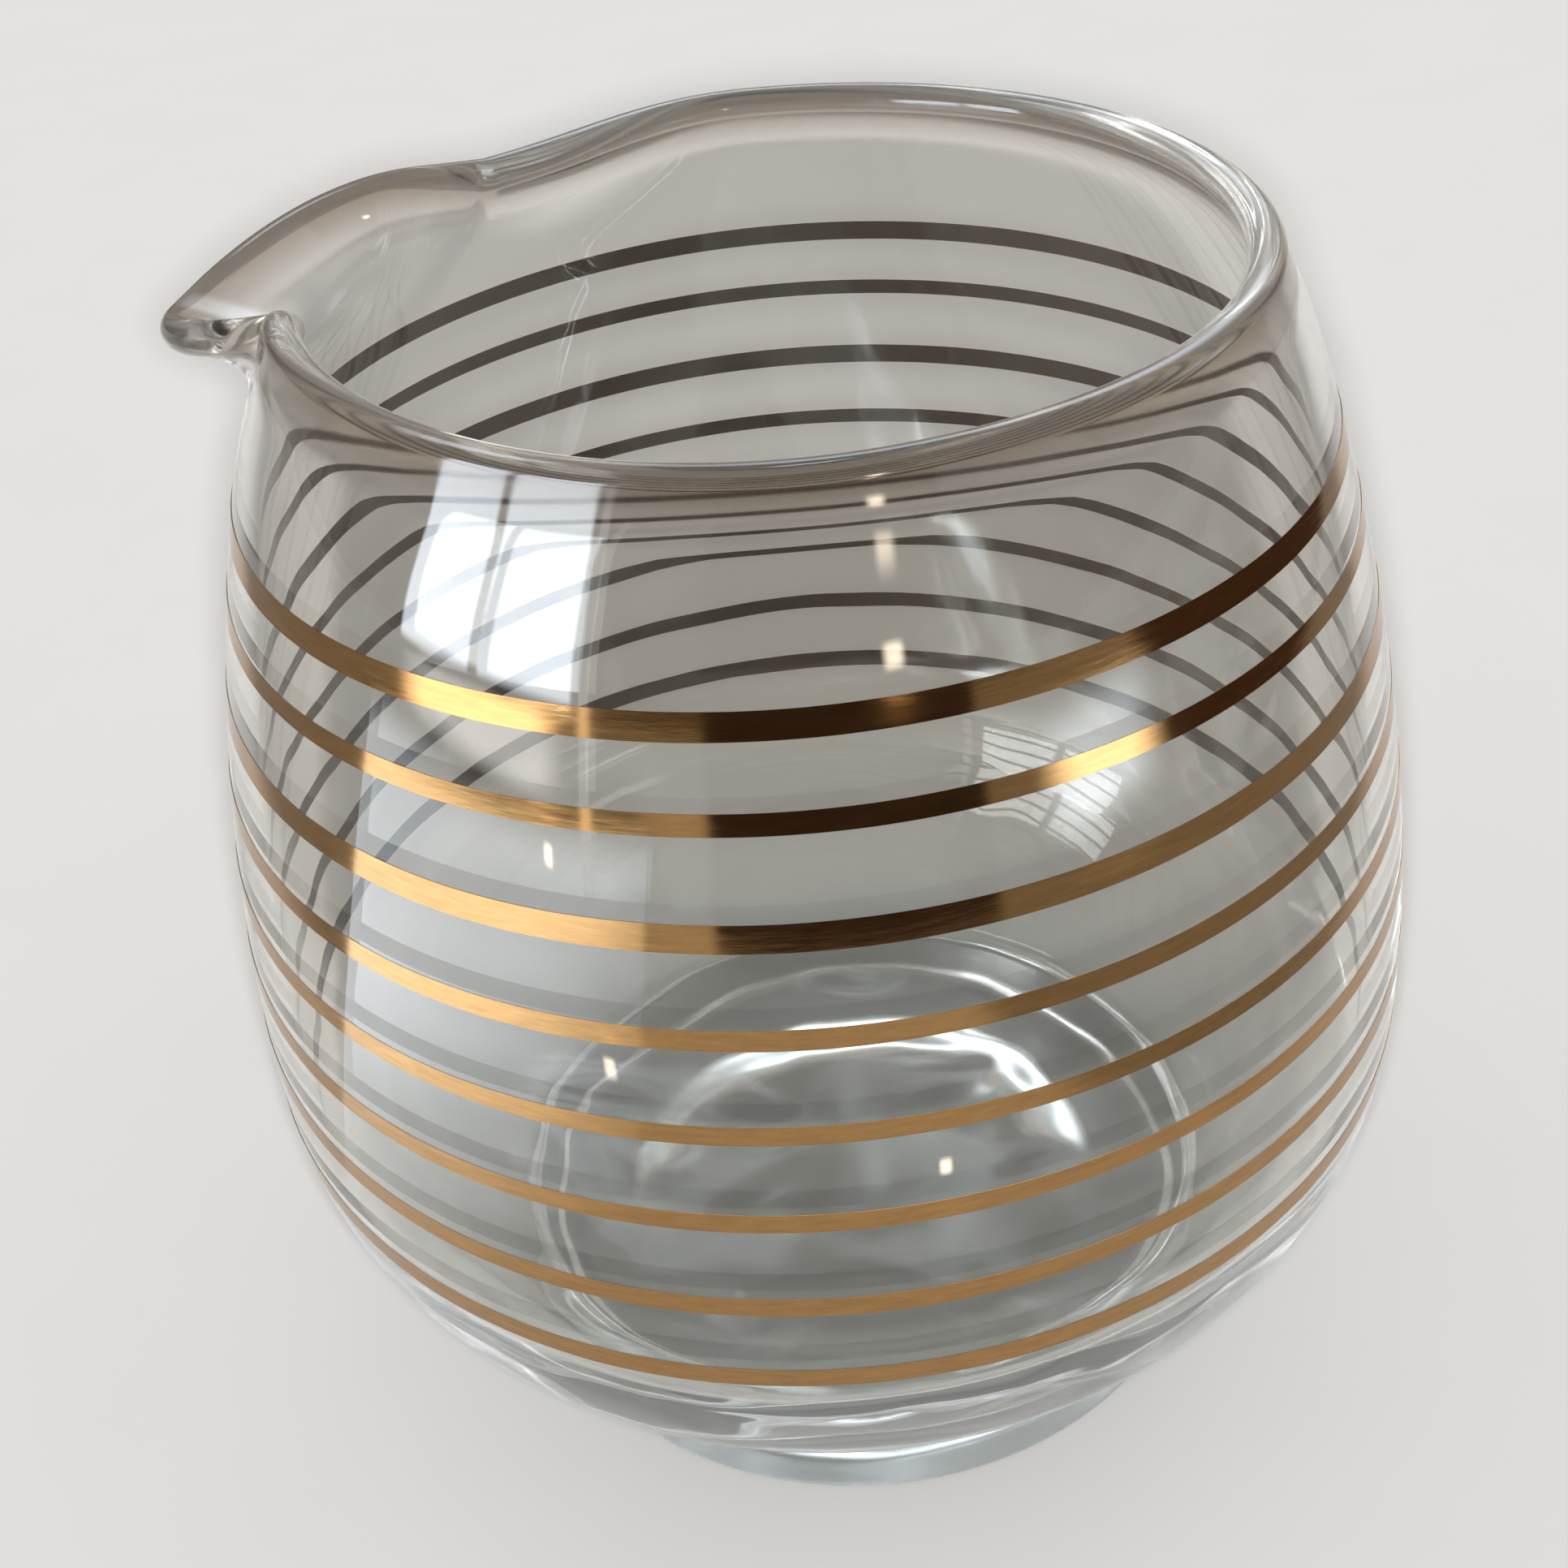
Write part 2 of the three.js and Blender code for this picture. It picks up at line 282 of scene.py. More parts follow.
def middle_tree(hill):
    """A point of the middle surface of the wall, with the spout and its shoulders in it."""
    sizes = dict.fromkeys(WALL_SIZES, FLOAT)
    inputs = {"Angle": FLOAT, "Height": FLOAT, **sizes}
    tree, given, result = new_tree("Middle of the wall", inputs, {"Point": VECTOR})
    size = given.outputs
    angle = size["Angle"]
    height = size["Height"]

    # Radius of the plain wall: one curve above the widest place, another below
    rise = add(
        tree,
        "ShaderNodeMapRange",
        {0: height, 1: size["Widest height"], 2: size["Rim height"]},
    )
    lean = add(tree, "ShaderNodeMath", {0: rise, 1: size["Upper fullness"]}, operation="POWER")
    upper = add(
        tree,
        "ShaderNodeMapRange",
        {0: lean, 3: size["Widest radius"], 4: size["Rim radius"]},
        clamp=False,
    )
    fall = add(
        tree,
        "ShaderNodeMapRange",
        {0: height, 1: size["Widest height"], 2: size["Foot height"]},
    )
    turn_in = add(tree, "ShaderNodeMath", {0: fall, 1: size["Lower fullness"]}, operation="POWER")
    narrow = add(
        tree,
        "ShaderNodeMath",
        {0: size["Foot radius"], 1: size["Widest radius"]},
        operation="SUBTRACT",
    )
    plain = add(tree, "ShaderNodeMath", {0: turn_in, 1: narrow, 2: upper}, operation="MULTIPLY_ADD")

    # Angle from the middle of the spout, positive toward the tight fold
    turn = add(tree, "ShaderNodeMath", {0: angle, 1: size["Spout angle"]}, operation="SUBTRACT")
    aside = add(tree, "ShaderNodeMath", {0: turn, 1: math.pi, 2: -math.pi}, operation="WRAP")
    fold_side = add(tree, "ShaderNodeMath", {0: aside, 1: 0.0}, operation="GREATER_THAN")
    half = add(
        tree,
        "GeometryNodeSwitch",
        {"Switch": fold_side, "False": size["Open side"], "True": size["Fold side"]},
        input_type="FLOAT",
    )

    # How much of the pull reaches this height
    start = add(
        tree, "ShaderNodeMath", {0: size["Rim height"], 1: size["Spout depth"]}, operation="SUBTRACT"
    )
    near = add(tree, "ShaderNodeMapRange", {0: height, 1: start, 2: size["Rim height"]})
    near_squared = add(tree, "ShaderNodeMath", {0: near, 1: near}, operation="MULTIPLY")
    near_cubed = add(tree, "ShaderNodeMath", {0: near_squared, 1: near}, operation="MULTIPLY")

    # Outward pull of the spout
    pull = add(tree, "GeometryNodeGroup", {"Angle": aside, "Half width": half}, node_tree=hill)
    round_pull = add(
        tree, "ShaderNodeMath", {0: pull, 1: size["Spout roundness"]}, operation="POWER"
    )
    reach = add(
        tree, "ShaderNodeMath", {0: round_pull, 1: size["Spout reach"]}, operation="MULTIPLY"
    )
    radius = add(
        tree, "ShaderNodeMath", {0: reach, 1: near_cubed, 2: plain}, operation="MULTIPLY_ADD"
    )

    # Shoulders pressed in beside it, and the rim drawn in on the far side
    for name, depth, sign, weight in (
        ("Open shoulder", "Open shoulder", "ADD", near_squared),
        ("Fold shoulder", "Fold shoulder", "SUBTRACT", near_squared),
        ("Back", "Back draw", "ADD", near_cubed),
    ):
        offset = add(tree, "ShaderNodeMath", {0: aside, 1: size[f"{name} angle"]}, operation=sign)
        turned = add(tree, "ShaderNodeMath", {0: offset, 1: math.pi, 2: -math.pi}, operation="WRAP")
        press = add(
            tree,
            "GeometryNodeGroup",
            {"Angle": turned, "Half width": size[f"{name} width"]},
            node_tree=hill,
        )
        pinch = add(tree, "ShaderNodeMath", {0: press, 1: size[depth]}, operation="MULTIPLY")
        inward = add(tree, "ShaderNodeMath", {0: pinch, 1: weight}, operation="MULTIPLY")
        radius = add(tree, "ShaderNodeMath", {0: radius, 1: inward}, operation="SUBTRACT")

    # Lift of the ears and droop of the tip
    shift = height
    for amount, width, sign in (
        ("Ear rise", "Ear width", "ADD"),
        ("Spout droop", "Droop width", "SUBTRACT"),
    ):
        lift = add(
            tree, "GeometryNodeGroup", {"Angle": aside, "Half width": size[width]}, node_tree=hill
        )
        level = add(tree, "ShaderNodeMath", {0: lift, 1: size[amount]}, operation="MULTIPLY")
        part = add(tree, "ShaderNodeMath", {0: level, 1: near_squared}, operation="MULTIPLY")
        shift = add(tree, "ShaderNodeMath", {0: shift, 1: part}, operation=sign)

    cosine = add(tree, "ShaderNodeMath", {0: angle}, operation="COSINE")
    sine = add(tree, "ShaderNodeMath", {0: angle}, operation="SINE")
    x = add(tree, "ShaderNodeMath", {0: radius, 1: cosine}, operation="MULTIPLY")
    y = add(tree, "ShaderNodeMath", {0: radius, 1: sine}, operation="MULTIPLY")
    point = add(tree, "ShaderNodeCombineXYZ", {0: x, 1: y, 2: shift})
    tree.links.new(point.outputs[0], result.inputs["Point"])
    return tree


def near_wall_tree(middle):
    """A point near the wall: outward across it, and beyond the height along it."""
    sizes = dict.fromkeys(WALL_SIZES, FLOAT)
    inputs = {"Angle": FLOAT, "Height": FLOAT, "Outward": FLOAT, "Beyond": FLOAT, **sizes}
    tree, given, result = new_tree("Near the wall", inputs, {"Point": VECTOR})
    small_turn = 0.002
    small_rise = 0.1 * MM

    def wall_point(angle, height):
        links = {"Angle": angle, "Height": height, **wall_sizes(given)}
        return add(tree, "GeometryNodeGroup", links, node_tree=middle)

    angle = given.outputs["Angle"]
    height = given.outputs["Height"]
    rim = given.outputs["Rim height"]
    ahead = add(tree, "ShaderNodeMath", {0: angle, 1: small_turn}, operation="ADD")
    behind = add(tree, "ShaderNodeMath", {0: angle, 1: small_turn}, operation="SUBTRACT")
    below_rim = add(tree, "ShaderNodeMath", {0: rim, 1: small_rise}, operation="SUBTRACT")
    low = add(tree, "ShaderNodeMath", {0: height, 1: below_rim}, operation="MINIMUM")
    high = add(tree, "ShaderNodeMath", {0: low, 1: small_rise}, operation="ADD")

    here = wall_point(angle, height)
    at_ahead = wall_point(ahead, height)
    at_behind = wall_point(behind, height)
    at_low = wall_point(angle, low)
    at_high = wall_point(angle, high)
    around = add(tree, "ShaderNodeVectorMath", {0: at_ahead, 1: at_behind}, operation="SUBTRACT")
    upward = add(tree, "ShaderNodeVectorMath", {0: at_high, 1: at_low}, operation="SUBTRACT")
    crossed = add(tree, "ShaderNodeVectorMath", {0: around, 1: upward}, operation="CROSS_PRODUCT")
    across = add(tree, "ShaderNodeVectorMath", {0: crossed}, operation="NORMALIZE")
    leaning = add(tree, "ShaderNodeVectorMath", {0: across, 1: around}, operation="CROSS_PRODUCT")
    along = add(tree, "ShaderNodeVectorMath", {0: leaning}, operation="NORMALIZE")
    out = add(
        tree, "ShaderNodeVectorMath", {0: across, "Scale": given.outputs["Outward"]}, operation="SCALE"
    )
    on = add(
        tree, "ShaderNodeVectorMath", {0: along, "Scale": given.outputs["Beyond"]}, operation="SCALE"
    )
    moved = add(tree, "ShaderNodeVectorMath", {0: here, 1: out}, operation="ADD")
    point = add(tree, "ShaderNodeVectorMath", {0: moved, 1: on}, operation="ADD")
    tree.links.new(point.outputs[0], result.inputs["Point"])
    return tree


def angle_round(tree, steps, finer):
    """Angle of each point of a round path, closer together at the spout."""
    index = add(tree, "GeometryNodeInputIndex")
    share = add(tree, "ShaderNodeMath", {0: index, 1: steps}, operation="DIVIDE")
    even = add(tree, "ShaderNodeMath", {0: share, 1: 2 * math.pi}, operation="MULTIPLY")
    wave = add(tree, "ShaderNodeMath", {0: even}, operation="SINE")
    pulled = add(tree, "ShaderNodeMath", {0: wave, 1: finer}, operation="MULTIPLY")
    spaced = add(tree, "ShaderNodeMath", {0: even, 1: pulled}, operation="SUBTRACT")
    return add(tree, "ShaderNodeMath", {0: spaced, 1: SPOUT_ANGLE}, operation="ADD")


def jug_tree(near_wall, glass):
    """Turns the half section round the axis and carries its rings along the spout."""
    sizes = dict.fromkeys(WALL_SIZES, FLOAT)
    inputs = {
        "Geometry": GEOMETRY,
        "Steps": "NodeSocketInt",
        "Finer at spout": FLOAT,
        "Foot aside": VECTOR,
        "Uneven": FLOAT,
        "Uneven width": FLOAT,
        "Seed": FLOAT,
        **sizes,
    }
    tree, given, result = new_tree("Blown jug", inputs, {"Geometry": GEOMETRY})
    kept = {
        name: add(tree, "GeometryNodeInputNamedAttribute", {"Name": name}, data_type="FLOAT")
        for name in ("angle", *SECTION_NAMES)
    }
    section = add(tree, "GeometryNodeMeshToCurve", {"Mesh": given.outputs["Geometry"]})
    ring = add(
        tree, "GeometryNodeCurvePrimitiveCircle", {"Resolution": given.outputs["Steps"]}
    )
    angle = angle_round(tree, given.outputs["Steps"], given.outputs["Finer at spout"])
    path = add(
        tree,
        "GeometryNodeStoreNamedAttribute",
        {"Geometry": ring, "Name": "angle", "Value": angle},
        data_type="FLOAT",
        domain="POINT",
    )
    turned = add(tree, "GeometryNodeCurveToMesh", {"Curve": path, "Profile Curve": section})
    here = kept["angle"]
    links = {
        "Angle": here,
        "Height": kept["height"],
        "Outward": kept["outward"],
        "Beyond": kept["beyond"],
        **wall_sizes(given),
    }
    carried = add(tree, "GeometryNodeGroup", links, node_tree=near_wall)
    cosine = add(tree, "ShaderNodeMath", {0: here}, operation="COSINE")
    sine = add(tree, "ShaderNodeMath", {0: here}, operation="SINE")
    radius = kept["plain_radius"]
    x = add(tree, "ShaderNodeMath", {0: radius, 1: cosine}, operation="MULTIPLY")
    y = add(tree, "ShaderNodeMath", {0: radius, 1: sine}, operation="MULTIPLY")
    centred_point = add(tree, "ShaderNodeCombineXYZ", {0: x, 1: y, 2: kept["height"]})

    # Toward the foot the section is set aside more and more
    down = add(
        tree,
        "ShaderNodeMapRange",
        {0: kept["height"], 1: given.outputs["Widest height"], 2: given.outputs["Foot height"]},
    )
    down_squared = add(tree, "ShaderNodeMath", {0: down, 1: down}, operation="MULTIPLY")
    aside = add(
        tree,
        "ShaderNodeVectorMath",
        {0: given.outputs["Foot aside"], "Scale": down_squared},
        operation="SCALE",
    )
    level = add(tree, "ShaderNodeVectorMath", {0: centred_point, 1: aside}, operation="ADD")

    # The thick base keeps soft swellings from the blowing
    fineness = add(
        tree, "ShaderNodeMath", {0: 1.0, 1: given.outputs["Uneven width"]}, operation="DIVIDE"
    )
    swelling = add(
        tree,
        "ShaderNodeTexNoise",
        {
            "Vector": level,
            "W": given.outputs["Seed"],
            "Scale": fineness,
            "Detail": 1.0,
            "Roughness": 0.4,
            "Distortion": 0.6,
        },
        noise_dimensions="4D",
    )
    centred = add(tree, "ShaderNodeMath", {0: swelling, 1: 0.5}, operation="SUBTRACT")
    share = add(
        tree, "ShaderNodeMath", {0: centred, 1: kept["uneven"]}, operation="MULTIPLY"
    )
    shift = add(
        tree, "ShaderNodeMath", {0: share, 1: given.outputs["Uneven"]}, operation="MULTIPLY"
    )
    upward = add(tree, "ShaderNodeCombineXYZ", {2: shift})
    plain = add(tree, "ShaderNodeVectorMath", {0: level, 1: upward}, operation="ADD")
    place = add(
        tree,
        "GeometryNodeSwitch",
        {"Switch": kept["carried"], "False": plain, "True": carried},
        input_type="VECTOR",
    )
    shaped = add(tree, "GeometryNodeSetPosition", {"Geometry": turned, "Position": place})
    closed = add(
        tree, "GeometryNodeMergeByDistance", {"Geometry": shaped, "Distance": 0.002 * MM}
    )
    outward = add(tree, "GeometryNodeFlipFaces", {"Mesh": closed})
    smooth = add(tree, "GeometryNodeSetShadeSmooth", {"Geometry": outward})
    real = add(tree, "GeometryNodeRealizeInstances", {"Geometry": smooth})
    dressed = add(tree, "GeometryNodeSetMaterial", {"Geometry": real, "Material": glass})
    tree.links.new(dressed.outputs[0], result.inputs["Geometry"])
    return tree


def gold_line_tree(near_wall, gold):
    """A thin film of gold laid round the outside of the wall, with slightly uneven edges."""
    sizes = dict.fromkeys(WALL_SIZES, FLOAT)
    inputs = {
        "Geometry": GEOMETRY,
        "Steps": "NodeSocketInt",
        "Finer at spout": FLOAT,
        "Height": FLOAT,
        "Width": FLOAT,
        "Film": FLOAT,
        "Lift": FLOAT,
        "Wear": FLOAT,
        "Seed": FLOAT,
        **sizes,
    }
    tree, given, result = new_tree("Fired gold line", inputs, {"Geometry": GEOMETRY})
    size = given.outputs
    shape = add(
        tree,
        "GeometryNodeCurvePrimitiveQuadrilateral",
        {"Width": size["Film"], "Height": size["Width"]},
    )
    fine = add(tree, "GeometryNodeSubdivideCurve", {"Curve": shape, "Cuts": 3})
    corner = add(tree, "ShaderNodeSeparateXYZ", {0: add(tree, "GeometryNodeInputPosition")})
    kept = fine
    for name, value in (("lift", corner.outputs[0]), ("across", corner.outputs[1])):
        kept = add(
            tree,
            "GeometryNodeStoreNamedAttribute",
            {"Geometry": kept, "Name": name, "Value": value},
            data_type="FLOAT",
            domain="POINT",
        )
    inner = add(tree, "ShaderNodeMath", {0: corner.outputs[0], 1: 0.0}, operation="LESS_THAN")
    kept = add(
        tree,
        "GeometryNodeStoreNamedAttribute",
        {"Geometry": kept, "Name": "backing", "Value": inner},
        data_type="FLOAT",
        domain="POINT",
    )
    ring = add(tree, "GeometryNodeCurvePrimitiveCircle", {"Resolution": size["Steps"]})
    angle = angle_round(tree, size["Steps"], size["Finer at spout"])
    path = add(
        tree,
        "GeometryNodeStoreNamedAttribute",
        {"Geometry": ring, "Name": "angle", "Value": angle},
        data_type="FLOAT",
        domain="POINT",
    )
    turned = add(tree, "GeometryNodeCurveToMesh", {"Curve": path, "Profile Curve": kept})

    # Edges waver as a brush leaves them, and wear away more on the lower side
    here, lift, across = (
        add(tree, "GeometryNodeInputNamedAttribute", {"Name": name}, data_type="FLOAT")
        for name in ("angle", "lift", "across")
    )
    cosine = add(tree, "ShaderNodeMath", {0: here}, operation="COSINE")
    sine = add(tree, "ShaderNodeMath", {0: here}, operation="SINE")
    spot = add(tree, "ShaderNodeCombineXYZ", {0: cosine, 1: sine, 2: across})
    noise = add(
        tree,
        "ShaderNodeTexNoise",
        {
            "Vector": spot,
            "W": size["Seed"],
            "Scale": BODY_RADIUS / WAVER_WIDTH,
            "Detail": 4.0,
            "Roughness": 0.6,
        },
        noise_dimensions="4D",
    )
    loss = add(tree, "ShaderNodeMath", {0: noise, 1: size["Wear"]}, operation="MULTIPLY")
    left = add(tree, "ShaderNodeMath", {0: 1.0, 1: loss}, operation="SUBTRACT")
    reach = add(tree, "ShaderNodeMath", {0: across, 1: left}, operation="MULTIPLY")
    height = add(tree, "ShaderNodeMath", {0: reach, 1: size["Height"]}, operation="ADD")
    half_film = add(tree, "ShaderNodeMath", {0: size["Film"], 1: 0.5}, operation="MULTIPLY")
    base = add(tree, "ShaderNodeMath", {0: size["Lift"], 1: half_film}, operation="ADD")
    from_middle = add(tree, "ShaderNodeMath", {0: base, 1: WALL / 2 * MM}, operation="ADD")
    outward = add(tree, "ShaderNodeMath", {0: from_middle, 1: lift}, operation="ADD")
    links = {"Angle": here, "Height": height, "Outward": outward, **wall_sizes(given)}
    place = add(tree, "GeometryNodeGroup", links, node_tree=near_wall)
    shaped = add(tree, "GeometryNodeSetPosition", {"Geometry": turned, "Position": place})
    outside = add(tree, "GeometryNodeFlipFaces", {"Mesh": shaped})
    fold = add(tree, "GeometryNodeInputMeshEdgeAngle")
    flat = add(tree, "ShaderNodeMath", {0: fold, 1: SHARP_FOLD}, operation="LESS_THAN")
    smooth = add(
        tree,
        "GeometryNodeSetShadeSmooth",
        {"Geometry": outside, "Selection": flat},
        domain="EDGE",
    )
    sharp = add(tree, "ShaderNodeMath", {0: fold, 1: SHARP_FOLD}, operation="GREATER_THAN")
    crisp = add(
        tree,
        "GeometryNodeSetShadeSmooth",
        {"Geometry": smooth, "Selection": sharp, "Shade Smooth": False},
        domain="EDGE",
    )
    real = add(tree, "GeometryNodeRealizeInstances", {"Geometry": crisp})
    dressed = add(tree, "GeometryNodeSetMaterial", {"Geometry": real, "Material": gold})
    tree.links.new(dressed.outputs[0], result.inputs["Geometry"])
    return tree


# What each point of the half section carries
SECTION_NAMES = ("carried", "uneven", "plain_radius", "height", "outward", "beyond")


def shares(count):
    return [i / count for i in range(count + 1)]


def bezier(t, a, b, c, d):
    s = 1 - t
    return s**3 * a + 3 * s * s * t * b + 3 * s * t * t * c + t**3 * d


def wall_radius(height):
    """Radius of the middle of the wall, before the spout is pulled."""
    widest = BODY_RADIUS - WALL / 2
    if height >= WIDEST_HEIGHT:
        up = (height - WIDEST_HEIGHT) / (RIM_HEIGHT - WIDEST_HEIGHT)
        return widest - (widest - RIM_RADIUS) * up**UPPER_FULLNESS
    down = (WIDEST_HEIGHT - height) / (WIDEST_HEIGHT - FOOT_HEIGHT)
    return widest - (widest - FOOT_RADIUS + WALL / 2) * down**LOWER_FULLNESS


def half_wall(height):
    up = min(1, max(0, 1 - (RIM_HEIGHT - height) / LIP_DEPTH))
    return (WALL + (LIP - WALL) * up * up) / 2


def inside_start():
    """Radius, height and downward slope of the inner wall where the bowl begins."""
    step = 0.01
    slope = (wall_radius(BOWL_HEIGHT + step) - wall_radius(BOWL_HEIGHT - step)) / (2 * step)
    length = math.hypot(1, slope)
    radius = wall_radius(BOWL_HEIGHT) - WALL / 2 / length
    height = BOWL_HEIGHT + WALL / 2 * slope / length
    return radius, height, slope


def half_section():
    """The half section: (carried, uneven, plain radius, height, outward, beyond) of each point."""
    points = []

    def plain(radius, height, uneven=0):
        points.append((0, uneven, radius, height, 0, 0))

    def carried(height, outward, beyond=0):
        points.append((1, 0, 0, height, outward, beyond))

    # Hollow underside, standing ring, rounded edge and side of the foot
    for t in shares(40):
        dome = (1 - t**HOLLOW_SIDE) ** 2
        plain(t * HOLLOW_RADIUS, HOLLOW * dome, dome)
    for t in shares(4)[1:]:
        plain(HOLLOW_RADIUS + t * (FOOT_RADIUS - FOOT_EDGE - HOLLOW_RADIUS), 0)
    for t in shares(6)[1:]:
        turn = t * math.pi / 2
        plain(
            FOOT_RADIUS - FOOT_EDGE + FOOT_EDGE * math.sin(turn),
            FOOT_EDGE - FOOT_EDGE * math.cos(turn),
        )
    for t in shares(5)[1:-1]:
        plain(FOOT_RADIUS, FOOT_EDGE + t * (FOOT_HEIGHT - CREASE - FOOT_EDGE))
    body_start = FOOT_HEIGHT + CREASE * 0.6
    for t in shares(8):
        s = 1 - t
        end_radius = wall_radius(body_start) + WALL / 2
        plain(
            s * s * FOOT_RADIUS + 2 * s * t * FOOT_RADIUS + t * t * end_radius,
            s * s * (FOOT_HEIGHT - CREASE) + 2 * s * t * FOOT_HEIGHT + t * t * body_start,
        )

    # Outside of the body up to the lip
    for t in shares(26)[1:-1]:
        height = body_start + t * (WIDEST_HEIGHT - body_start)
        plain(wall_radius(height) + WALL / 2, height)
    for t in shares(64):
        height = WIDEST_HEIGHT + (1 - (1 - t) ** 1.4) * (RIM_HEIGHT - WIDEST_HEIGHT)
        carried(height, half_wall(height))

    # Half round of the lip
    for t in shares(22)[1:-1]:
        turn = t * math.pi
        carried(RIM_HEIGHT, LIP / 2 * math.cos(turn), LIP / 2 * math.sin(turn))

    # Inside of the wall, bowl and floor
    for t in shares(66):
        height = RIM_HEIGHT - t**1.4 * (RIM_HEIGHT - BOWL_HEIGHT)
        carried(height, -half_wall(height))
    radius, height, slope = inside_start()
    drop = (BOWL_HEIGHT - FLOOR_HEIGHT) / 2.4
    for t in shares(36)[1:]:
        plain(
            bezier(t, radius, radius - slope * drop, BOWL_CORNER, FLOOR_FLAT),
            bezier(t, height, height - drop, FLOOR_HEIGHT, FLOOR_HEIGHT),
            t * t * (3 - 2 * t),
        )
    for t in shares(8)[1:]:
        plain(FLOOR_FLAT * (1 - t), FLOOR_HEIGHT, 1)
    return points


def section_object():
    """The half section as a line whose points carry their place on the wall."""
    points = half_section()
    mesh = bpy.data.meshes.new("jug_section")
    corners = [(p[2] * MM, p[3] * MM, 0) for p in points]
    mesh.from_pydata(corners, [(i, i + 1) for i in range(len(points) - 1)], [])
    for column, name in enumerate(SECTION_NAMES):
        unit = 1 if name in ("carried", "uneven") else MM
        layer = mesh.attributes.new(name, "FLOAT", "POINT")
        layer.data.foreach_set("value", [p[column] * unit for p in points])
    piece = bpy.data.objects.new("jug_section", mesh)
    bpy.context.scene.collection.objects.link(piece)
    return piece


def made_by(tree, source, sizes, name):
    """Runs a tree on an object and returns the result as a plain mesh object."""
    modifier = source.modifiers.new(tree.name, "NODES")
    modifier.node_group = tree
    for item in tree.interface.items_tree:
        if item.item_type == "SOCKET" and item.in_out == "INPUT" and item.name in sizes:
            modifier[item.identifier] = sizes[item.name]
    bpy.context.view_layer.update()
    graph = bpy.context.evaluated_depsgraph_get()
    mesh = bpy.data.meshes.new_from_object(source.evaluated_get(graph))
    source.modifiers.remove(modifier)
    mesh.name = name
    piece = bpy.data.objects.new(name, mesh)
    bpy.context.scene.collection.objects.link(piece)
    bpy.data.objects.remove(source)
    return piece


